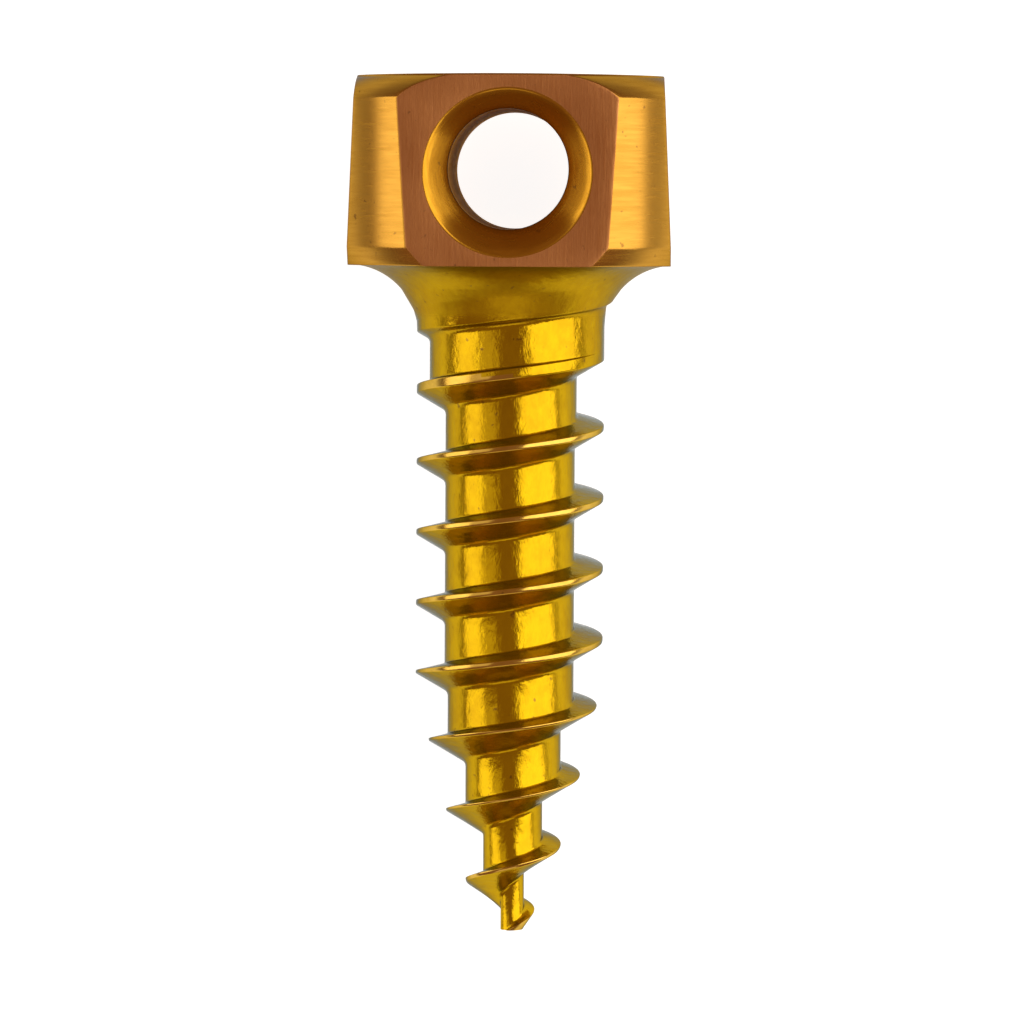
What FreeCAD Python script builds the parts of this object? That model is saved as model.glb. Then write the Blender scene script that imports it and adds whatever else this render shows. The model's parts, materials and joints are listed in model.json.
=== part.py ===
import FreeCAD, Part
import math
import os
import Sketcher

V = FreeCAD.Vector

# Bone anchor screw, one machined piece of gold coloured titanium.
# The screw is drawn standing on its tip, with its axis on Z and the front flat of
# the head facing -Y, and is laid down at the end the way it comes to rest.
# Heights are measured from the end of the tip. Millimetres and degrees.

doc = FreeCAD.newDocument("bone_anchor_screw")

DRIVING = [
    # head
    ("shank_length", 12.45),
    ("head_height", 3.55),
    ("corner_radius", 3.5),
    ("underside_chamfer_depth", 0.15),
    ("underside_chamfer_height", 0.34),
    ("top_edge_depth", 0.53),
    ("top_edge_height", 0.49),
    ("top_edge_arc", 1.06),
    ("across_flats_at_rim", 5.95),
    ("across_flats_at_top", 5.67),
    ("flat_cut_overlap", 0.25),
    # cross hole, with the same cone at both ends
    ("hole_radius", 1.1),
    ("hole_below_top", 1.78),
    ("hole_cone_radius", 1.52),
    ("hole_cone_angle", 45.0),
    # neck
    ("neck_arc", 1.31),
    ("neck_flare", 1.29),
    ("neck_height", 1.09),
    # thread
    ("thread_radius", 1.75),
    ("thread_depth", 0.54),
    ("thread_pitch", 1.32),
    ("crest_width", 0.095),
    ("upper_flank_angle", 30.0),
    ("lower_flank_angle", 12.0),
    ("root_fillet", 0.15),
    ("cutter_clearance", 0.08),
    ("nose_cutter_clearance", 0.07),
    ("run_out_below_head", 2.52),
    ("run_out_phase", -16.4),
    ("turns_to_surface", 1.0),
    ("run_out_turns", 1.2),
    ("stretch_lap", 0.02),
    ("stretch_step", 0.004),
    # pointed end
    ("nose_length", 4.7),
    ("nose_arc", 44.0),
    ("point_length", 0.62),
    ("point_radius", 0.7),
    ("tip_radius", 0.28),
    ("core_taper_delay", 0.39),
    ("core_taper_end", 0.09),
    ("thread_overrun", 0.6),
]

sheet = doc.addObject("Spreadsheet::Sheet", "sizes")
for row, (name, number) in enumerate(DRIVING, start=1):
    sheet.set(f"A{row}", name)
    sheet.set(f"B{row}", str(number))
    sheet.setAlias(f"B{row}", name)
doc.recompute()


class Size:
    """A number from the sheet, kept with the expression that gives it."""

    def __init__(self, number, text):
        self.number = number
        self.text = text

    def __add__(self, other):
        return Size(self.number + other.number, f"({self.text} + {other.text})")

    def __sub__(self, other):
        return Size(self.number - other.number, f"({self.text} - {other.text})")

    def __mul__(self, other):
        return Size(self.number * other.number, f"({self.text} * {other.text})")

    def __truediv__(self, other):
        return Size(self.number / other.number, f"({self.text} / {other.text})")

    def __neg__(self):
        return Size(-self.number, f"(-1 * {self.text})")


def cell(name):
    return Size(float(sheet.get(name)), f"sizes.{name}")


def plain(number):
    return Size(float(number), f"({number})")


def trig(name, angle):
    radians = math.radians(angle.number)
    number = {"sin": math.sin, "cos": math.cos, "tan": math.tan}[name](radians)
    return Size(number, f"{name}({angle.text} * 1 deg)")


def angle_of(slope):
    """The angle in degrees whose tangent is the given slope."""
    return Size(math.degrees(math.atan(slope.number)), f"(atan({slope.text}) / 1 deg)")


ZERO = plain(0)
TWO = plain(2)

body = doc.addObject("PartDesign::Body", "bone_anchor_screw")
body.Label = "bone_anchor_screw"


def origin_plane(role):
    return next(f for f in body.Origin.OriginFeatures if f.Role == role)


def new_sketch(name, role, turn=None):
    """A sketch on one of the body's planes, turned about the screw's axis if asked."""
    sketch = body.newObject("Sketcher::SketchObject", name)
    sketch.AttachmentSupport = [(origin_plane(role), "")]
    sketch.MapMode = "FlatFace"
    if turn is not None:
        rotation = FreeCAD.Rotation(V(0, 1, 0), turn.number)
        sketch.AttachmentOffset = FreeCAD.Placement(V(0, 0, 0), rotation)
    return sketch


def bind(sketch, constraint, size):
    index = sketch.addConstraint(constraint)
    sketch.setExpression(f"Constraints[{index}]", size.text)


def arc_between(start, end, radius, left):
    """An arc of the given radius from start to end, bulging left of the way between them."""
    a = V(start[0].number, start[1].number, 0)
    b = V(end[0].number, end[1].number, 0)
    middle = (a + b) * 0.5
    half = (b - a) * 0.5
    away = V(-half.y, half.x, 0)
    away.normalize()
    rise = radius.number - math.sqrt(radius.number**2 - half.Length**2)
    top = middle + away * (rise if left else -rise)
    return Part.Arc(a, top, b)


def outline(sketch, corners, arcs=None):
    """A closed outline through the corners, every corner and arc bound to the sheet.

    arcs maps the number of a side to its radius and to whether it bulges to the left.
    """
    arcs = arcs or {}
    count = len(corners)
    ends = []
    for side in range(count):
        start = corners[side]
        end = corners[(side + 1) % count]
        if side in arcs:
            radius, left = arcs[side]
            arc = arc_between(start, end, radius, left)
            index = sketch.addGeometry(arc, False)
            first = sketch.getPoint(index, 1)
            same = first.distanceToPoint(V(start[0].number, start[1].number, 0)) < 1e-6
            ends.append((index, 1, 2) if same else (index, 2, 1))
        else:
            a = V(start[0].number, start[1].number, 0)
            b = V(end[0].number, end[1].number, 0)
            index = sketch.addGeometry(Part.LineSegment(a, b), False)
            ends.append((index, 1, 2))
    for side in range(count):
        last = ends[side - 1]
        here = ends[side]
        joint = Sketcher.Constraint("Coincident", last[0], last[2], here[0], here[1])
        sketch.addConstraint(joint)
    for side, (x, y) in enumerate(corners):
        index, begin, _ = ends[side]
        for kind, size in (("DistanceX", x), ("DistanceY", y)):
            bind(sketch, Sketcher.Constraint(kind, -1, 1, index, begin, size.number), size)
    for side, (radius, _) in arcs.items():
        bind(sketch, Sketcher.Constraint("Radius", ends[side][0], radius.number), radius)
    doc.recompute()


def checked(feature, before, cuts):
    """Stops unless a feature is whole and has changed the volume in the way it should."""
    doc.recompute()
    state = set(feature.State)
    if state & {"Invalid", "Error"} or feature.Shape.isNull() or not feature.Shape.isValid():
        raise RuntimeError(f"{feature.Name} failed: {sorted(state)}")
    change = feature.Shape.Volume - before
    if (change >= 0) if cuts else (change <= 0):
        raise RuntimeError(f"{feature.Name} changed the volume by {change}")
    return feature.Shape.Volume


underside = cell("shank_length")
top = underside + cell("head_height")
corner = cell("corner_radius")
thread_radius = cell("thread_radius")

# the turned blank: pointed end, shank, neck and round head
blank_sketch = new_sketch("blank_outline", "XZ_Plane")
outline(
    blank_sketch,
    [
        (ZERO, ZERO),
        (cell("tip_radius"), ZERO),
        (cell("point_radius"), cell("point_length")),
        (thread_radius, cell("nose_length")),
        (thread_radius, underside - cell("neck_height")),
        (thread_radius + cell("neck_flare"), underside),
        (corner - cell("underside_chamfer_depth"), underside),
        (corner, underside + cell("underside_chamfer_height")),
        (corner, top - cell("top_edge_height")),
        (corner - cell("top_edge_depth"), top),
        (ZERO, top),
    ],
    {
        2: (cell("nose_arc"), False),
        4: (cell("neck_arc"), True),
        8: (cell("top_edge_arc"), False),
    },
)
blank = body.newObject("PartDesign::Revolution", "turned_blank")
blank.Profile = blank_sketch
blank.ReferenceAxis = (blank_sketch, ["V_Axis"])
blank.Angle = 360
volume = checked(blank, 0, False)

# the four milled flats lean in towards the top and end in a short upright rim
flat_sketch = new_sketch("flat_cut_outline", "XZ_Plane")
overlap = cell("flat_cut_overlap")
reach = corner + overlap
rim_half = cell("across_flats_at_rim") / TWO
top_half = cell("across_flats_at_top") / TWO
rim_top = underside + cell("underside_chamfer_height")
lean = (rim_half - top_half) / (top - rim_top)
outline(
    flat_sketch,
    [
        (rim_half, underside - overlap),
        (reach, underside - overlap),
        (reach, top + overlap),
        (top_half - lean * overlap, top + overlap),
        (rim_half, rim_top),
    ],
)
flat = body.newObject("PartDesign::Pocket", "milled_flat")
flat.Profile = flat_sketch
flat.Midplane = True
flat.setExpression("Length", (TWO * reach).text)
volume = checked(flat, volume, True)

flats = body.newObject("PartDesign::PolarPattern", "four_flats")
flats.Originals = [flat]
flats.Axis = (blank_sketch, ["V_Axis"])
flats.Angle = 360
flats.Occurrences = 4
body.Tip = flats
volume = checked(flats, volume, True)

# the cross hole goes through from the front flat to the rear one, with a cone at each end
hole_sketch = new_sketch("cross_hole_outline", "YZ_Plane")
hole_height = top - cell("hole_below_top")
hole_radius = cell("hole_radius")
flat_half = top_half + lean * cell("hole_below_top")
cone_slope = trig("tan", cell("hole_cone_angle"))
wall_half = flat_half - (cell("hole_cone_radius") - hole_radius) / cone_slope
mouth_radius = hole_radius + (reach - wall_half) * cone_slope
outline(
    hole_sketch,
    [
        (-reach, hole_height),
        (reach, hole_height),
        (reach, hole_height + mouth_radius),
        (wall_half, hole_height + hole_radius),
        (-wall_half, hole_height + hole_radius),
        (-reach, hole_height + mouth_radius),
    ],
)
hole = body.newObject("PartDesign::Groove", "cross_hole")
hole.Profile = hole_sketch
hole.ReferenceAxis = (hole_sketch, ["Edge1"])
hole.Angle = 360
volume = checked(hole, volume, True)

pitch = cell("thread_pitch")
thread_depth = cell("thread_depth")
core = thread_radius - thread_depth
upper_angle = cell("upper_flank_angle")
lower_angle = cell("lower_flank_angle")
flank_widths = thread_depth * (trig("tan", upper_angle) + trig("tan", lower_angle))
root_width = pitch - cell("crest_width") - flank_widths
start = underside - cell("run_out_below_head")
full_turn = plain(360)


def turn_at(height):
    """Where the groove is round the axis when its middle is at a height."""
    return cell("run_out_phase") + (height - start) * full_turn / pitch


def thread_groove(name, depth, core, height, angle, rise):
    """One stretch of the thread: the same groove outline swept along the helix.

    core is the radius at the bottom of the groove and height its middle where the
    stretch begins, and rise the length along the axis, upwards if positive. The
    bottom moves away from the axis at the given angle.
    """
    sketch = new_sketch(f"{name}_outline", "XZ_Plane", turn_at(height))
    upper = height + root_width / TWO
    lower = height - root_width / TWO
    quarter = plain(90)
    # how far the fillet reaches along the bottom and along the upper flank
    reach = cell("root_fillet") * trig("tan", (quarter - upper_angle) / TWO)
    outer = core + depth
    outline(
        sketch,
        [
            (core, lower),
            (core, upper - reach),
            (
                core + reach * trig("cos", upper_angle),
                upper + reach * trig("sin", upper_angle),
            ),
            (outer, upper + depth * trig("tan", upper_angle)),
            (outer, lower - depth * trig("tan", lower_angle)),
        ],
        {1: (cell("root_fillet"), True)},
    )
    groove = body.newObject("PartDesign::SubtractiveHelix", name)
    groove.Profile = sketch
    groove.ReferenceAxis = (sketch, ["V_Axis"])
    groove.Mode = "pitch-height-angle"
    groove.setExpression("Pitch", pitch.text)
    groove.setExpression("Height", rise.text if rise.number > 0 else (-rise).text)
    groove.setExpression("Angle", angle.text)
    groove.LeftHanded = False
    groove.Reversed = rise.number < 0
    return groove


# the bottom of the groove is level along the shank, comes up to the surface under the
# head, and follows the pointed end down to a thin core at the tip
depth = thread_depth + cell("cutter_clearance")
lap = cell("stretch_lap")
step = cell("stretch_step")
run_out_slope = thread_depth / (cell("turns_to_surface") * pitch)
run_out = cell("run_out_turns") * pitch
nose = cell("nose_length") - cell("core_taper_delay")
tip = cell("core_taper_end")
nose_slope = (thread_radius - cell("point_radius")) / (
    cell("nose_length") - cell("point_length")
)
tip_core = core - nose_slope * (nose - tip)

# on the pointed end the upper flank leaves the metal higher up and so further out
nose_rise = nose_slope * (root_width / TWO - cell("core_taper_delay"))
nose_depth = (thread_depth + nose_rise + cell("nose_cutter_clearance")) / (
    plain(1) - nose_slope * trig("tan", upper_angle)
)

# a stretch begins a lap inside the one before it and a hair shallower than that one
STRETCHES = [
    (
        "thread_nose",
        nose_depth,
        core + lap * nose_slope + step,
        nose + lap,
        -angle_of(nose_slope),
        tip - nose - lap,
    ),
    (
        "thread_tip",
        nose_depth,
        tip_core + lap * nose_slope + step + step,
        tip + lap,
        ZERO,
        -cell("thread_overrun") - tip - lap,
    ),
    ("thread_main", depth, core, start, ZERO, nose - start),
    (
        "thread_run_out",
        depth,
        core + step,
        start - lap,
        angle_of(run_out_slope),
        run_out + lap,
    ),
]
for stretch in STRETCHES:
    groove = thread_groove(*stretch)
    volume = checked(groove, volume, True)

for item in doc.Objects:
    if set(item.State) & {"Invalid", "Error"}:
        raise RuntimeError(f"{item.Name} is not whole")

# laid down: the rim of the rear flat and one crest of the thread touch the ground
points = [point for edge in body.Shape.Edges for point in edge.discretize(300)]
neck_foot = (underside - cell("neck_height")).number
slopes = [
    (rim_half.number - point.y) / (underside.number - point.z)
    for point in points
    if point.z < neck_foot
]
lie = math.degrees(math.atan(min(slopes)))
turn = FreeCAD.Rotation(V(1, 0, 0), lie - 90)
laid = [turn.multVec(point) for point in points]
middle_y = (min(point.y for point in laid) + max(point.y for point in laid)) / 2
ground = min(point.z for point in laid)
body.Placement = FreeCAD.Placement(V(0, -middle_y, -ground), turn)

shape = body.Shape
if shape.isNull() or not shape.isValid() or len(shape.Solids) != 1:
    raise RuntimeError("the screw is not one valid solid")
os.makedirs("parts", exist_ok=True)
shape.exportStep(f"parts/{body.Label}.step")
print(f"lies at {lie:.3f} degrees, volume {shape.Volume:.2f} cubic millimetres")
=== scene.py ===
import json
import math

import bmesh
import bpy
import numpy as np
from mathutils import Matrix, Vector


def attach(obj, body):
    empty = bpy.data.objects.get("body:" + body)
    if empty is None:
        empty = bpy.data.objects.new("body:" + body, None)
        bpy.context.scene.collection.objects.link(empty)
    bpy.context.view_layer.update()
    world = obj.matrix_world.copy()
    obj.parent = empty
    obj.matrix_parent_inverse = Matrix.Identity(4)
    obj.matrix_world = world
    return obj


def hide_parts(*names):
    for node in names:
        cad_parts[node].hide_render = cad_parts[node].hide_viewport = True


# The looks of a gold anodised bone anchor screw. The skin of the whole screw is one mesh.
# It is drawn upright in millimetres, with the axis on Z, the tip at 0 and the front flat
# facing -Y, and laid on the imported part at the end.

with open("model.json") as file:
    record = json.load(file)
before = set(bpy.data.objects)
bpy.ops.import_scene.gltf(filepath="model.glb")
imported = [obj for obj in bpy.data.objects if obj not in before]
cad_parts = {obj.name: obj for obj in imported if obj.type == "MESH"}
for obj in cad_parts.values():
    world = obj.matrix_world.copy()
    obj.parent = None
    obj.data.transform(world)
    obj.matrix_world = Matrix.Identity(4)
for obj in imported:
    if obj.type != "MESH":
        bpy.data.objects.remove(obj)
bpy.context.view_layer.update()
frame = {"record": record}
mounts = {mount["name"]: mount for mount in frame["record"]["mounts"]}
axis = Vector(mounts["head_top"]["axis"])
front = Vector(mounts["cross_hole"]["axis"])
sideways = axis.cross(front)
top_centre = Vector(mounts["head_top"]["pos_m"])
MM = 0.001

# head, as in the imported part, with a top that is very slightly domed
UNDERSIDE = 12.45
TOP = UNDERSIDE + 3.55
TOP_DOME = 0.05
CORNER_RADIUS = 3.5
CHAMFER_DEPTH = 0.15
CHAMFER_TOP = UNDERSIDE + 0.34
TOP_EDGE_START = TOP - 0.49
TOP_EDGE_RADIUS = CORNER_RADIUS - 0.53
TOP_EDGE_ARC = 1.06
FLAT_AT_RIM = 5.95 / 2
FLAT_AT_TOP = 5.67 / 2
HOLE_HEIGHT = TOP - 1.78
HOLE_RADIUS = 1.1
HOLE_CONE_RADIUS = 1.52

# neck, shank and pointed end
NECK_START = UNDERSIDE - 1.09
NECK_FLARE = 1.29
NECK_ARC = 1.31
THREAD_RADIUS = 1.75
NOSE_LENGTH = 4.7
NOSE_ARC = 44.0
POINT_LENGTH = 0.62
POINT_RADIUS = 0.7
TIP_RADIUS = 0.28

# thread groove, whose bottom rises under the head and then lifts out more steeply
PITCH = 1.32
THREAD_DEPTH = 0.54
CORE_RADIUS = THREAD_RADIUS - THREAD_DEPTH
CREST_WIDTH = 0.095
UPPER_SLOPE = math.tan(math.radians(30))
LOWER_SLOPE = math.tan(math.radians(12))
UPPER_FILLET = 0.087
LOWER_FILLET = 0.05
CREST_EDGE = 0.022
RUN_OUT_START = UNDERSIDE - 2.52
RUN_OUT_PHASE = -16.4
LIFT_START = 11.35
LIFT_SLOPE = 1.19
CORE_TAPER_START = NOSE_LENGTH - 0.39
CORE_TAPER_END = 0.09

# edges broken by the polishing
EDGE = 0.03
EDGE_BLEND = 0.03
EDGE_ANGLE = 0.0125
EDGE_POINTS = 4
MOST_EASED = 0.45
SHARP = math.radians(50)

# how finely the skin is drawn: columns round the axis, from the left end of the front
# flat, and rows along it
COLUMNS = 240
FIRST_ANGLE = -135
QUARTER = COLUMNS // 4
HALF_QUARTER = QUARTER // 2
STEPS_TO_EDGE = 17
TURN_STEPS = (-0.4, 0, 0.4)
EDGE_COLUMN = STEPS_TO_EDGE + 2
FIRST_TURN = -8
TURNS = 12
SKIN_SPLIT = 12.0
CREST_POINTS = 3
LOWER_POINTS = 4
UPPER_POINTS = 5
ARC_POINTS = 60
TOP_EDGE_POINTS = 14
FINE_EDGE_POINTS = 40
HEAD_ROWS = 16
UNDERSIDE_RADII = (3.15, 3.25)
CHAMFER_STEPS = (0.3, 0.55, 0.8)
TOP_EDGE_TURNS = (30, 60, 90)
TOP_RINGS = (0.93, 0.6, 0.25)
NECK_EDGE_ANGLE = math.radians(24)
HOLE_POINTS = 144
CONE_STEPS = (0.25, 0.5, 0.75)
WALL_STEPS = (0.8, 0.6, 0.4, 0.2)
SETTLING_ROUNDS = 40
MERGED_WITHIN = 0.0004
DISSOLVED_WITHIN = 0.0001
TINY = 1e-6

# the part of the front and rear flats that is drawn round the hole
PATCH_BOTTOM = 12.5
PATCH_TOP = 15.9
FRONT_QUARTER = 0
REAR_QUARTER = 2

# finishes, and how far up the crest and how far out the hole's wall have their own
POLISHED, MILLED, TURNED, BORED, WALL, CREST = range(6)
CREST_ROWS = 2
CREST_TOP = 10.4
WALL_END = 2.3


def arc(start, end, radius, side, count):
    """Points of an arc from start to end. side is 1 with the centre on the left, else -1."""
    a = np.array(start, float)
    b = np.array(end, float)
    middle = (a + b) / 2
    half = (b - a) / 2
    left = np.array([-half[1], half[0]]) / np.linalg.norm(half)
    centre = middle + side * left * math.sqrt(radius**2 - half @ half)
    first = math.atan2(*(a - centre)[::-1])
    last = math.atan2(*(b - centre)[::-1])
    turn = (last - first + math.pi) % (2 * math.pi) - math.pi
    angles = first + turn * np.linspace(0, 1, count)
    return np.stack([centre[0] + radius * np.cos(angles), centre[1] + radius * np.sin(angles)], 1)


def eased(before, corner, after, reach, count):
    """The corner of an outline, eased over reach on both sides. Works on arrays of points."""
    ends = []
    for other in (before, after):
        way = other - corner
        length = np.maximum(np.linalg.norm(way, axis=-1, keepdims=True), TINY)
        ends.append(corner + way * np.minimum(reach / length, MOST_EASED))
    for t in np.linspace(0, 1, count):
        yield ends[0] * (1 - t) ** 2 + corner * 2 * t * (1 - t) + ends[1] * t**2


def blended_min(a, b, width):
    return np.minimum(a, b) - np.maximum(width - np.abs(a - b), 0) ** 2 / (4 * width)


def on_circle(radius, angle, height):
    return np.stack(
        np.broadcast_arrays(radius * np.cos(angle), radius * np.sin(angle), height), -1
    )


point_start = (POINT_RADIUS, POINT_LENGTH)
nose_outline = arc(point_start, (THREAD_RADIUS, NOSE_LENGTH), NOSE_ARC, 1, ARC_POINTS)
neck_end = (THREAD_RADIUS + NECK_FLARE, UNDERSIDE)
neck_outline = arc((THREAD_RADIUS, NECK_START), neck_end, NECK_ARC, -1, ARC_POINTS)
shank_outline = np.vstack([[(TIP_RADIUS, 0)], nose_outline, neck_outline])


def shank_radius(height):
    return np.interp(height, shank_outline[:, 1], shank_outline[:, 0])


def flat_distance(height):
    return np.interp(height, [CHAMFER_TOP, TOP], [FLAT_AT_RIM, FLAT_AT_TOP])


def sunk(height, radius):
    """Where the dome of the top puts a place that would be at this height without it."""
    share = max(height - TOP_EDGE_START, 0) / (TOP - TOP_EDGE_START)
    return height - share * TOP_DOME * (radius / TOP_EDGE_RADIUS) ** 2


class Skin:
    """Collects the vertices and faces of the screw's skin, each face with its finish."""

    def __init__(self):
        self.points = []
        self.count = 0
        self.faces = []
        self.finishes = []

    def add_points(self, points):
        points = np.asarray(points, float).reshape(-1, 3)
        first = self.count
        self.points.append(points)
        self.count += len(points)
        return np.arange(first, self.count)

    def add_face(self, corners, finish):
        self.faces.append([int(c) for c in corners])
        self.finishes.append(int(finish))

    def add_band(self, lower, upper, finish, left_open=()):
        """Quads between two closed rows, but none in the columns that are left open.

        finish is one for all the quads, or an array with one for each.
        """
        size = len(lower)
        finishes = np.broadcast_to(finish, size)
        for i in range(size):
            if i in left_open:
                continue
            j = (i + 1) % size
            self.add_face((lower[i], lower[j], upper[j], upper[i]), finishes[i])

    def add_fan(self, row, centre, finish):
        middle = self.add_points([centre])[0]
        for i in range(len(row)):
            self.add_face((row[i], row[(i + 1) % len(row)], middle), finish)

    def add_joint(self, outer, outer_angles, inner, inner_angles, finish):
        """Triangles between two closed rows round the same centre, matched by angle."""
        turn = np.exp(1j * (inner_angles - outer_angles[0])).real.argmax()
        inner, inner_angles = np.roll(inner, -turn), np.roll(inner_angles, -turn)
        a = np.unwrap(np.append(outer_angles, outer_angles[0]))
        b = np.unwrap(np.append(inner_angles, inner_angles[0]))
        b += 2 * math.pi * round((a[0] - b[0]) / (2 * math.pi))
        i = j = 0
        while i < len(outer) or j < len(inner):
            step_out = j == len(inner) or (i < len(outer) and a[i + 1] <= b[j + 1])
            here = (outer[i % len(outer)], inner[j % len(inner)])
            if step_out:
                i += 1
                self.add_face((*here, outer[i % len(outer)]), finish)
            else:
                j += 1
                self.add_face((*here, inner[j % len(inner)]), finish)


even_angles = np.radians(FIRST_ANGLE + 360 / COLUMNS * np.arange(COLUMNS))
skin = Skin()


def groove_edges(middle, root, width):
    """The foot and the rim of the groove's lower flank, and then of its upper one.

    Each is (radius, height) for every turn and column, and ends on the blank's surface.
    """
    found = []
    for side, slope in ((-1, LOWER_SLOPE), (1, UPPER_SLOPE)):
        foot = middle + side * width / 2
        rim = shank_radius(foot)
        for _ in range(SETTLING_ROUNDS):
            deep = np.maximum(rim - root, 0)
            rim = 0.5 * rim + 0.5 * shank_radius(foot + side * slope * deep)
        deep = np.maximum(rim - root, 0)
        foot_radius = np.minimum(root, shank_radius(foot))
        found.append(np.stack([foot_radius, foot], -1))
        found.append(np.stack([foot_radius + deep, foot + side * slope * deep], -1))
    return found


def groove_corners():
    """The middle of the crest below the groove, and the four corners of the groove's outline.

    All are (radius, height) for each turn and column, from the lowest up. One turn more
    than the skin needs is made below, for the crest under the first turn.
    """
    turns = np.arange(FIRST_TURN - 1, FIRST_TURN + TURNS)[:, None]
    angles = np.degrees(even_angles)[None, :] + 360 * turns
    middle = RUN_OUT_START + (angles - RUN_OUT_PHASE) / 360 * PITCH
    taper = (THREAD_RADIUS - POINT_RADIUS) / (NOSE_LENGTH - POINT_LENGTH)
    longest = CORE_TAPER_START - CORE_TAPER_END
    root = CORE_RADIUS - taper * np.clip(CORE_TAPER_START - middle, 0, longest)
    root = root + THREAD_DEPTH / PITCH * np.maximum(middle - RUN_OUT_START, 0)
    root = root + LIFT_SLOPE * np.maximum(middle - LIFT_START, 0)
    width = PITCH - CREST_WIDTH - THREAD_DEPTH * (UPPER_SLOPE + LOWER_SLOPE)
    low_foot, low_rim, high_foot, high_rim = groove_edges(middle, root, width)
    # where two grooves meet under the surface, the crest between them is a sharp ridge
    below, above = high_rim[:-1], low_rim[1:]
    met = below[..., 1] > above[..., 1]
    gap = low_foot[1:, :, 1] - high_foot[:-1, :, 1]
    lift = high_foot[:-1, :, 0] * UPPER_SLOPE + low_foot[1:, :, 0] * LOWER_SLOPE
    ridge = (gap + lift) / (UPPER_SLOPE + LOWER_SLOPE)
    ridge_height = high_foot[:-1, :, 1] + (ridge - high_foot[:-1, :, 0]) * UPPER_SLOPE
    for rim in (below, above):
        rim[..., 0] = np.where(met, ridge, rim[..., 0])
        rim[..., 1] = np.where(met, ridge_height, rim[..., 1])
    crest_height = (below[..., 1] + above[..., 1]) / 2
    crest_radius = np.where(met, ridge, shank_radius(crest_height))
    crest = np.stack([crest_radius, crest_height], -1)
    return crest, low_rim[1:], low_foot[1:], high_foot[1:], high_rim[1:]


def groove_outline():
    """The outline of the skin over one turn, with its corners eased, for each turn and column."""
    crest, low_rim, low_foot, high_foot, high_rim = groove_corners()
    above = np.concatenate([crest[1:], crest[-1:] + (0, PITCH)])
    rows = [crest]
    rows += eased(crest, low_rim, low_foot, CREST_EDGE, CREST_POINTS)
    rows.append((low_rim + low_foot) / 2)
    rows += eased(low_rim, low_foot, high_foot, LOWER_FILLET, LOWER_POINTS)
    rows.append((low_foot + high_foot) / 2)
    rows += eased(low_foot, high_foot, high_rim, UPPER_FILLET, UPPER_POINTS)
    rows.append((high_foot + high_rim) / 2)
    rows += eased(high_foot, high_rim, above, CREST_EDGE, CREST_POINTS)
    return np.stack(rows, 2)


def add_shank():
    """The threaded shank up to SKIN_SPLIT, and the tip. Returns its last ring."""
    outline = groove_outline()
    radius, height = outline[..., 0].copy(), outline[..., 1].copy()
    columns = outline.transpose(1, 0, 2, 3).reshape(COLUMNS, -1, 2)
    tip = np.array([min(np.interp(0, c[:, 1], c[:, 0]), TIP_RADIUS) for c in columns])
    radius = np.where(height < 0, tip[None, :, None], radius)
    radius = np.where(height > SKIN_SPLIT, shank_radius(SKIN_SPLIT), radius)
    height = np.clip(height, 0, SKIN_SPLIT)
    radius = np.minimum(radius, shank_radius(height))
    places = on_circle(radius, even_angles[None, :, None], height)
    size = places.shape[2]
    ids = skin.add_points(places).reshape(-1, size)
    # the last row of a column is the first row of the same column one turn up
    closing = np.concatenate([ids[COLUMNS:, 0], ids[-COLUMNS:, 0]])
    ids = np.concatenate([ids, closing[:, None]], 1)
    heights = places.reshape(-1, size, 3)[..., 2]
    next_crest = np.concatenate([heights[COLUMNS:, 0], heights[-COLUMNS:, 0]])
    for i in range((TURNS - 1) * COLUMNS):
        here, there = ids[i], ids[i + 1]
        highest = max(heights[i : i + 2].max(), next_crest[i : i + 2].max())
        lowest = heights[i : i + 2].min()
        if highest <= 0 or lowest >= SKIN_SPLIT:
            continue
        for j in range(size):
            by_crest = j < CREST_ROWS or j >= size - CREST_ROWS
            finish = CREST if by_crest and heights[i, j] < CREST_TOP else POLISHED
            skin.add_face((here[j], there[j], there[j + 1], here[j + 1]), finish)
    tip_ring = skin.add_points(on_circle(tip, even_angles, 0.0))
    skin.add_fan(tip_ring, (0, 0, 0), POLISHED)
    return skin.add_points(on_circle(shank_radius(SKIN_SPLIT), even_angles, SKIN_SPLIT))


def head_profile():
    """The outline of the round head and the neck above SKIN_SPLIT, up to the broken top edge."""
    neck = np.array(neck_end)
    shoulder = np.array((CORNER_RADIUS - CHAMFER_DEPTH, UNDERSIDE))
    rim = np.array((CORNER_RADIUS, CHAMFER_TOP))
    edge_start = np.array((CORNER_RADIUS, TOP_EDGE_START))
    edge_end = (TOP_EDGE_RADIUS, TOP)
    edge = arc(edge_start, edge_end, TOP_EDGE_ARC, 1, TOP_EDGE_POINTS)
    edge = edge[edge[:, 1] < TOP - EDGE]
    side_rows = np.linspace(CHAMFER_TOP, TOP_EDGE_START, HEAD_ROWS)[1:-1]
    profile = [p for p in neck_outline if p[1] > SKIN_SPLIT][::2]
    profile += [np.array((r, UNDERSIDE)) for r in UNDERSIDE_RADII]
    profile += eased(neck, shoulder, rim, EDGE, EDGE_POINTS)
    profile += [shoulder + (rim - shoulder) * t for t in CHAMFER_STEPS]
    profile += eased(shoulder, rim, edge_start, EDGE, EDGE_POINTS)
    profile += [np.array((CORNER_RADIUS, z)) for z in side_rows]
    profile += eased(rim, edge_start, edge[1], EDGE, EDGE_POINTS)
    profile += list(edge[2:])
    radii, heights = arc(edge_start, edge_end, TOP_EDGE_ARC, 1, FINE_EDGE_POINTS).T
    profile.append(np.array((np.interp(TOP - EDGE, heights, radii), TOP - EDGE)))
    return profile


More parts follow.
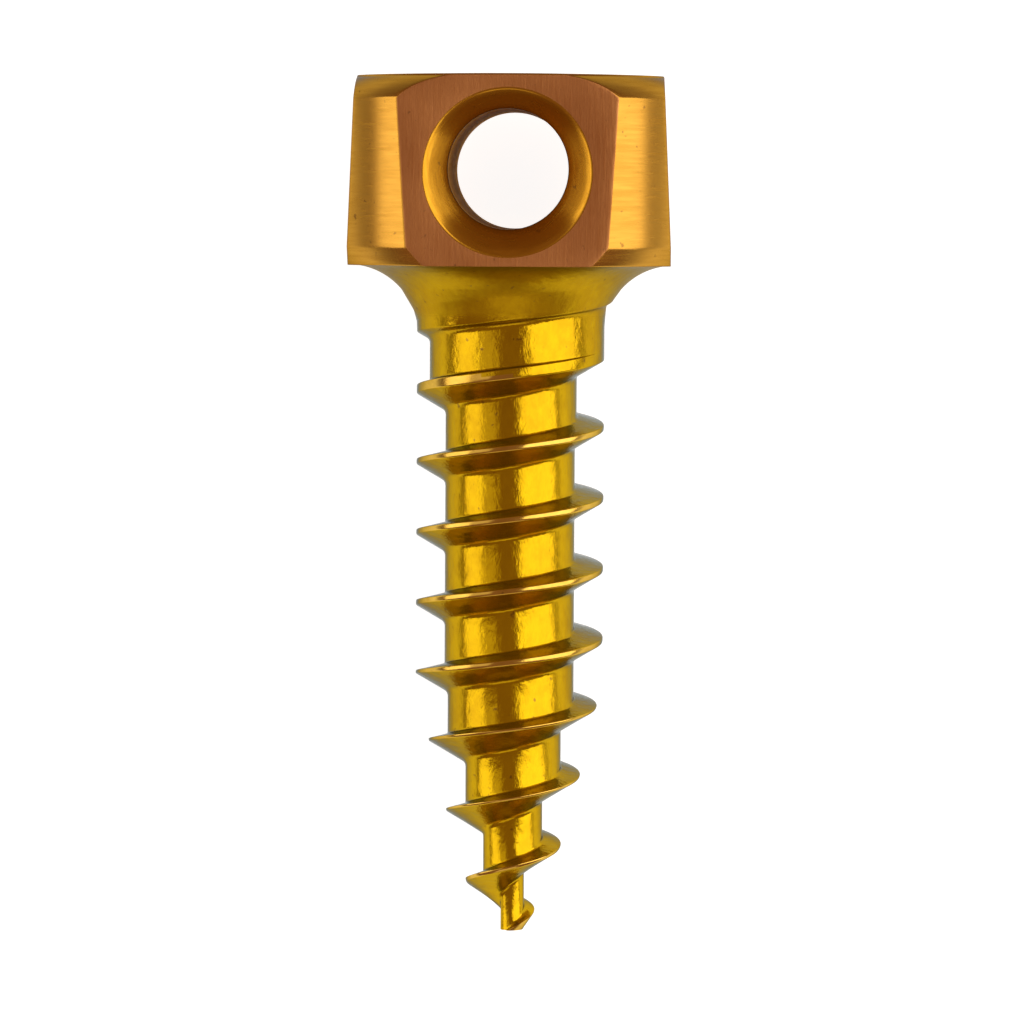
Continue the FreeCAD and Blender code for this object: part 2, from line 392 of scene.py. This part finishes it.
def head_angles(edge_angle):
    """The angles of the columns of one quarter from the middle of its flat, for one ring."""
    near = np.linspace(0, edge_angle - EDGE_ANGLE, STEPS_TO_EDGE + 1)
    turn = edge_angle + np.array(TURN_STEPS) * EDGE_ANGLE
    far_count = HALF_QUARTER - STEPS_TO_EDGE - len(TURN_STEPS)
    far = np.linspace(edge_angle + EDGE_ANGLE, math.pi / 4, far_count)
    half = np.concatenate([near, turn, far])
    return np.concatenate([-half[:0:-1], half[:-1]])


def add_head(before):
    """The vertices of the neck above SKIN_SPLIT and of the head, and the middle of its top.

    Returns the rings of the head with their heights, and the bands between all the rings,
    whose faces are made when the patches round the cross hole are known.
    """
    columns = np.arange(-HALF_QUARTER, HALF_QUARTER)
    even = np.radians(360 / COLUMNS) * columns
    in_flat = np.abs(columns + 0.5) < EDGE_COLUMN
    head_finishes = np.tile(np.where(in_flat, MILLED, TURNED), 4)
    rings = []
    bands = []
    for radius, height in head_profile():
        flat = flat_distance(height)
        edge_angle = math.acos(min(1, flat / radius))
        if height <= UNDERSIDE:
            edge_angle = max(edge_angle, NECK_EDGE_ANGLE)
        offsets = head_angles(edge_angle)
        if height < UNDERSIDE:
            share = (height - SKIN_SPLIT) / (UNDERSIDE - SKIN_SPLIT)
            offsets = even * (1 - share) + offsets * share
        size = np.tile(blended_min(radius, flat / np.cos(offsets), EDGE_BLEND), 4)
        angles = np.concatenate([offsets + math.radians(q * 90 - 90) for q in range(4)])
        ring = skin.add_points(on_circle(size, angles, sunk(height, size)))
        rings.append((ring, height))
        if height > UNDERSIDE + TINY:
            finish = head_finishes
        elif height > UNDERSIDE - TINY:
            finish = TURNED
        else:
            finish = POLISHED
        bands.append((before, ring, finish))
        before = ring
    turns = np.radians(TOP_EDGE_TURNS)
    closing = [(size - EDGE * (1 - np.cos(t)), TOP - EDGE + EDGE * np.sin(t)) for t in turns]
    rim = closing[-1][0]
    closing += [(rim * share, TOP) for share in TOP_RINGS]
    for radius, height in closing:
        ring = skin.add_points(on_circle(radius, angles, sunk(height, radius)))
        bands.append((before, ring, TURNED))
        before = ring
    skin.add_fan(before, (0, 0, TOP), TURNED)
    return rings, bands


def hole_rows():
    """Rows of vertices from the front flat through the hole to the rear one, and their angles."""
    angles = 2 * math.pi / HOLE_POINTS * np.arange(HOLE_POINTS)

    def surface(radius):
        return flat_distance(HOLE_HEIGHT + radius * np.sin(angles))

    wall_half = float(flat_distance(HOLE_HEIGHT)) - (HOLE_CONE_RADIUS - HOLE_RADIUS)
    mouth = np.full(HOLE_POINTS, HOLE_CONE_RADIUS)
    for _ in range(SETTLING_ROUNDS):
        mouth = HOLE_RADIUS + surface(mouth) - wall_half
    corner = np.stack([mouth, surface(mouth)], -1)
    outside = np.stack([mouth + 1, surface(mouth + 1)], -1)
    bottom = np.tile((HOLE_RADIUS, wall_half), (HOLE_POINTS, 1))
    middle = bottom * (1, 0)
    half = list(eased(outside, corner, bottom, EDGE, EDGE_POINTS))
    half += [corner + (bottom - corner) * t for t in CONE_STEPS]
    half += list(eased(corner, bottom, middle, EDGE, EDGE_POINTS))
    half += [bottom * (1, t) for t in WALL_STEPS]
    whole = half + [middle] + [row * (1, -1) for row in half[::-1]]
    rows = []
    for radius, depth in (row.T for row in whole):
        height = HOLE_HEIGHT + radius * np.sin(angles)
        rows.append(np.stack([radius * np.cos(angles), -depth, height], -1))
    return rows, angles


def add_hole(rings):
    """The hole, joined to the front and rear flats round a patch left open in them.

    Returns the open patch, as its upper rings and how many columns it reaches sideways.
    """
    reach = STEPS_TO_EDGE - 1
    chosen = [ring for ring, height in rings if PATCH_BOTTOM < height < PATCH_TOP]
    rows, angles = hole_rows()
    ids = [skin.add_points(row) for row in rows]
    for i in range(len(ids) - 1):
        deep = abs(rows[i][0, 1] + rows[i + 1][0, 1]) / 2
        skin.add_band(ids[i], ids[i + 1], WALL if deep < WALL_END else BORED)
    for quarter, row in ((FRONT_QUARTER, ids[0]), (REAR_QUARTER, ids[-1])):
        first = quarter * QUARTER + HALF_QUARTER - reach
        across = np.arange(first, first + 2 * reach + 1)
        loop = [chosen[0][c] for c in across]
        loop += [ring[across[-1]] for ring in chosen[1:-1]]
        loop += [chosen[-1][c] for c in across[::-1]]
        loop += [ring[across[0]] for ring in chosen[-2:0:-1]]
        if quarter == REAR_QUARTER:
            loop = loop[::-1]
        places = np.concatenate(skin.points)[loop]
        round_hole = np.arctan2(places[:, 2] - HOLE_HEIGHT, places[:, 0])
        skin.add_joint(loop, round_hole, row, angles, MILLED)
    return chosen[1:], reach


def add_bands(bands, open_rings, reach):
    """The faces between the head's rings, apart from the two patches."""
    columns = np.arange(COLUMNS)
    offsets = columns % QUARTER - HALF_QUARTER
    in_holed_flat = np.isin(columns // QUARTER, (FRONT_QUARTER, REAR_QUARTER))
    patch = set(columns[in_holed_flat & (offsets >= -reach) & (offsets < reach)])
    opened = {int(ring[0]) for ring in open_rings}
    for lower, upper, finish in bands:
        skin.add_band(lower, upper, finish, patch if int(upper[0]) in opened else ())


rings, bands = add_head(add_shank())
add_bands(bands, *add_hole(rings))


def laid(x, y, z):
    """Where a point of the upright screw, in millimetres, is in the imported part's frame."""
    return top_centre + (sideways * x - front * y + axis * (z - TOP)) * MM


def laid_mesh(name):
    """The skin as a mesh laid on the part. Each vertex keeps its upright place for the finishes."""
    mesh = bpy.data.meshes.new(name)
    mesh.from_pydata(np.concatenate(skin.points).tolist(), [], skin.faces)
    mesh.polygons.foreach_set("material_index", skin.finishes)
    work = bmesh.new()
    work.from_mesh(mesh)
    bmesh.ops.remove_doubles(work, verts=work.verts, dist=MERGED_WITHIN)
    bmesh.ops.dissolve_degenerate(work, edges=work.edges, dist=DISSOLVED_WITHIN)
    bmesh.ops.recalc_face_normals(work, faces=work.faces)
    for edge in work.edges:
        edge.smooth = edge.calc_face_angle(0) < SHARP
    work.to_mesh(mesh)
    work.free()
    places = np.zeros(len(mesh.vertices) * 3)
    mesh.vertices.foreach_get("co", places)
    kept = mesh.attributes.new("place", "FLOAT_VECTOR", "POINT")
    kept.data.foreach_set("vector", places)
    turned = Matrix((sideways, -front, axis)).transposed().to_4x4()
    turned.translation = laid(0, 0, 0)
    mesh.transform(turned @ Matrix.Scale(MM, 4))
    mesh.polygons.foreach_set("use_smooth", [True] * len(mesh.polygons))
    return mesh


# numbers of a Mix node's sockets when it mixes colours
MIX_SHARE, MIX_FIRST, MIX_SECOND = 0, 6, 7
MIXED = 2


def added(tree, kind, settings=(), values=()):
    """A new node. values go to its sockets, and a value that is a socket is linked."""
    node = tree.nodes.new(kind)
    for name, value in dict(settings).items():
        setattr(node, name, value)
    for name, value in dict(values).items():
        if isinstance(value, bpy.types.NodeSocket):
            tree.links.new(value, node.inputs[name])
        else:
            node.inputs[name].default_value = value
    return node


def noise(tree, place, values):
    return added(tree, "ShaderNodeTexNoise", (), {"Vector": place, **values}).outputs["Fac"]


def worked(tree, operation, first, second):
    node = added(tree, "ShaderNodeMath", {"operation": operation}, {0: first, 1: second})
    return node.outputs["Value"]


def mixed(tree, share, first, second):
    """The first colour, turning to the second as the share goes from 0 to 1."""
    values = {MIX_SHARE: share, MIX_FIRST: first, MIX_SECOND: second}
    return added(tree, "ShaderNodeMix", {"data_type": "RGBA"}, values).outputs[MIXED]


def ranged(tree, value, start, end, low=0.0, high=1.0, way="LINEAR"):
    """A value from start to end, brought to low to high and held there beyond them."""
    values = {"Value": value, "From Min": start, "From Max": end, "To Min": low, "To Max": high}
    return added(tree, "ShaderNodeMapRange", {"interpolation_type": way}, values).outputs["Result"]


# what all the finishes share: the grain of the tool's marks, clouds of the coating's
# colour, a few dark specks, and the coat's tint where the light grazes it
GRAIN = {"Scale": 1.0, "Detail": 5.0, "Roughness": 0.6}
CLOUD = {"Scale": 0.5, "Detail": 3.0}
SPECK = {"Scale": 7.0, "Detail": 2.0}
SHADE_RANGE = (0.15, 0.4)
SPECK_RANGE = (0.7, 0.76)
SPECK_STRENGTH = 0.6
SPECK_COLOUR = (0.16, 0.07, 0.02, 1)
GRAZING_TINT = (0.24, 0.33, 0.42, 1)
ROUGH_RANGE = (0.3, 0.7)
SMOOTHEST = 0.8
ROUGHEST = 1.2
BUMP_STRENGTH = 0.6
NECK_FINISH = (11.3, 11.6)


def metal(name, colour, shade, roughness, grain_scale, grain_depth, metallic=1.0, neck_roughness=0):
    """Anodised metal with a fine grain drawn out along the marks that the tool left.

    The grain's scale is in marks for each millimetre along X, Y and Z of the upright screw,
    and its depth in millimetres. On the neck the metal is at least as rough as is given.
    """
    material = bpy.data.materials.new(name)
    material.use_nodes = True
    tree = material.node_tree
    surface = tree.nodes["Principled BSDF"]
    surface.inputs["Metallic"].default_value = metallic
    surface.inputs["Specular Tint"].default_value = GRAZING_TINT
    place = added(tree, "ShaderNodeAttribute", {"attribute_name": "place"}).outputs["Vector"]
    drawn = added(
        tree, "ShaderNodeVectorMath", {"operation": "MULTIPLY"}, {0: place, 1: grain_scale}
    )
    grain = noise(tree, drawn.outputs["Vector"], GRAIN)
    blotch = worked(tree, "MULTIPLY", grain, noise(tree, place, CLOUD))
    shaded = mixed(tree, ranged(tree, blotch, *SHADE_RANGE), (*colour, 1), (*shade, 1))
    speck = ranged(tree, noise(tree, place, SPECK), *SPECK_RANGE, high=SPECK_STRENGTH)
    marked = mixed(tree, speck, shaded, SPECK_COLOUR)
    rough = ranged(tree, grain, *ROUGH_RANGE, roughness * SMOOTHEST, roughness * ROUGHEST)
    if neck_roughness:
        height = added(tree, "ShaderNodeSeparateXYZ", (), {0: place}).outputs["Z"]
        neck = ranged(tree, height, *NECK_FINISH, high=neck_roughness)
        rough = worked(tree, "MAXIMUM", rough, neck)
    relief = {"Strength": BUMP_STRENGTH, "Distance": grain_depth * MM, "Height": grain}
    bump = added(tree, "ShaderNodeBump", (), relief)
    tree.links.new(marked, surface.inputs["Base Color"])
    tree.links.new(rough, surface.inputs["Roughness"])
    tree.links.new(bump.outputs["Normal"], surface.inputs["Normal"])
    return material


# in the order of the finishes' numbers
FINISHES = [
    metal(
        "polished_gold",
        colour=(0.54, 0.335, 0.003),
        shade=(0.46, 0.265, 0.003),
        roughness=0.14,
        grain_scale=(6, 6, 4),
        grain_depth=0.02,
        metallic=0.9,
        neck_roughness=0.36,
    ),
    metal(
        "milled_bronze",
        colour=(0.60, 0.27, 0.085),
        shade=(0.38, 0.145, 0.04),
        roughness=0.42,
        grain_scale=(24, 24, 1.0),
        grain_depth=0.005,
    ),
    metal(
        "turned_gold",
        colour=(0.55, 0.285, 0.04),
        shade=(0.46, 0.225, 0.028),
        roughness=0.25,
        grain_scale=(1.2, 1.2, 16),
        grain_depth=0.001,
    ),
    metal(
        "bored_gold",
        colour=(0.56, 0.28, 0.02),
        shade=(0.44, 0.20, 0.012),
        roughness=0.24,
        grain_scale=(2, 14, 2),
        grain_depth=0.002,
        metallic=0.96,
    ),
    metal(
        "bored_wall",
        colour=(0.55, 0.26, 0.02),
        shade=(0.40, 0.18, 0.012),
        roughness=0.8,
        grain_scale=(14, 2, 14),
        grain_depth=0.003,
        metallic=0.8,
    ),
    metal(
        "crest_gold",
        colour=(0.66, 0.42, 0.07),
        shade=(0.52, 0.31, 0.04),
        roughness=0.16,
        grain_scale=(4, 4, 8),
        grain_depth=0.004,
    ),
]

screw = bpy.data.objects.new("anodised_screw", laid_mesh("anodised_screw"))
bpy.context.scene.collection.objects.link(screw)
for material in FINISHES:
    screw.data.materials.append(material)
normals = screw.modifiers.new("even_normals", "WEIGHTED_NORMAL")
normals.keep_sharp = True
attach(screw, "root")
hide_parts("bone_anchor_screw")

# a pale table under the screw, in metres, with a painted pool of light on it: it glows white
# round the screw to the camera and in the metal's reflections, and fades out further away
TABLE_HALF = 0.4
TABLE_COLOUR = (0.4, 0.4, 0.4, 1)
TABLE_ROUGHNESS = 0.9
PAINTED_POOL_STRENGTH = 0.9
POOL_FULL_WITHIN = 0.012
POOL_END_AT = 0.028


def table_finish(name):
    material = bpy.data.materials.new(name)
    material.use_nodes = True
    tree = material.node_tree
    board = tree.nodes["Principled BSDF"]
    board.inputs["Base Color"].default_value = TABLE_COLOUR
    board.inputs["Roughness"].default_value = TABLE_ROUGHNESS
    board.inputs["Emission Color"].default_value = (1, 1, 1, 1)
    ray = added(tree, "ShaderNodeLightPath").outputs
    seen = worked(tree, "MAXIMUM", ray["Is Camera Ray"], ray["Is Transmission Ray"])
    seen = worked(tree, "MAXIMUM", seen, ray["Is Glossy Ray"])
    place = added(tree, "ShaderNodeTexCoord").outputs["Object"]
    far = added(tree, "ShaderNodeVectorMath", {"operation": "LENGTH"}, {0: place})
    near = ranged(tree, far.outputs["Value"], POOL_END_AT, POOL_FULL_WITHIN, way="SMOOTHSTEP")
    # painted light: the glow is strongest round the screw and fades with the distance from it
    painted_pool = worked(tree, "MULTIPLY", near, worked(tree, "MULTIPLY", seen, PAINTED_POOL_STRENGTH))
    tree.links.new(painted_pool, board.inputs["Emission Strength"])
    return material


table_mesh = bpy.data.meshes.new("table_top")
corners = [(x * TABLE_HALF, y * TABLE_HALF, 0) for x, y in ((-1, -1), (1, -1), (1, 1), (-1, 1))]
table_mesh.from_pydata(corners, [], [(0, 1, 2, 3)])
table_mesh.materials.append(table_finish("table_with_painted_light_pool"))
table = bpy.data.objects.new("table_top", table_mesh)
bpy.context.scene.collection.objects.link(table)


def panel(name, lower, upper, ends, radiance, bearing=0.0):
    """A soft light from one (x, height) to another, with its ends along Y, in millimetres.

    The bearing, in degrees, turns it round the upright line through the middle of the table.
    """
    a = Vector((lower[0], ends[0], lower[1])) * MM
    b = Vector((upper[0], ends[1], upper[1])) * MM
    light = bpy.data.lights.new(name, "AREA")
    light.shape = "RECTANGLE"
    light.size = (ends[1] - ends[0]) * MM
    up = (b - a) * Vector((1, 0, 1))
    light.size_y = up.length
    light.energy = radiance * math.pi * light.size * light.size_y
    lamp = bpy.data.objects.new(name, light)
    bpy.context.scene.collection.objects.link(lamp)
    along = Vector((0, 1, 0))
    up.normalize()
    away = along.cross(up)
    if away.dot((a + b) / 2) < 0:
        along, away = -along, -away
    stand = Matrix((along, up, away)).transposed().to_4x4()
    stand.translation = (a + b) / 2
    lamp.matrix_world = Matrix.Rotation(math.radians(bearing), 4, "Z") @ stand
    lamp.visible_camera = False


SIDE_ENDS = (-26, 48)
FOOT_ENDS = (-24, 24)
panel("left_panel", (-60, 8), (-60, 55), SIDE_ENDS, 1.8)
panel("left_fill", (-60, 57), (-34, 84), SIDE_ENDS, 0.6)
panel("right_panel", (60, 5), (24, 76), SIDE_ENDS, 2.15)
panel("foot_fill", (60, 16), (60, 52), FOOT_ENDS, 0.65, bearing=-90.0)

STUDIO_COLOUR = (0.30, 0.165, 0.14, 1)
world = bpy.data.worlds.new("dim_studio")
bpy.context.scene.world = world
world.use_nodes = True
world.node_tree.nodes["Background"].inputs["Color"].default_value = STUDIO_COLOUR

# the camera faces the front flat from beside the head, in millimetres and degrees
SWING = 1.5
DISTANCE = 107
EYE_HEIGHT = 13.6
AIM = (0.04, 0, 7.835)
ROLL = 0.3
SENSOR_WIDTH = 36
LENS = 201.5
CLIP_START = 0.001
CLIP_END = 10

camera_data = bpy.data.cameras.new("camera")
camera = bpy.data.objects.new("camera", camera_data)
bpy.context.scene.collection.objects.link(camera)
bpy.context.scene.camera = camera
swing = math.radians(SWING)
roll = math.radians(ROLL)
camera.location = laid(DISTANCE * math.sin(swing), -DISTANCE * math.cos(swing), EYE_HEIGHT)
back = (camera.location - laid(*AIM)).normalized()
right = axis.cross(back).normalized()
up = back.cross(right)
tilted_right = right * math.cos(roll) + up * math.sin(roll)
tilted_up = up * math.cos(roll) - right * math.sin(roll)
camera.matrix_world = Matrix.Translation(camera.location) @ (
    Matrix((tilted_right, tilted_up, back)).transposed().to_4x4()
)
camera_data.sensor_width = SENSOR_WIDTH
camera_data.lens = LENS
camera_data.clip_start = CLIP_START
camera_data.clip_end = CLIP_END

bpy.context.scene.view_settings.view_transform = "Standard"
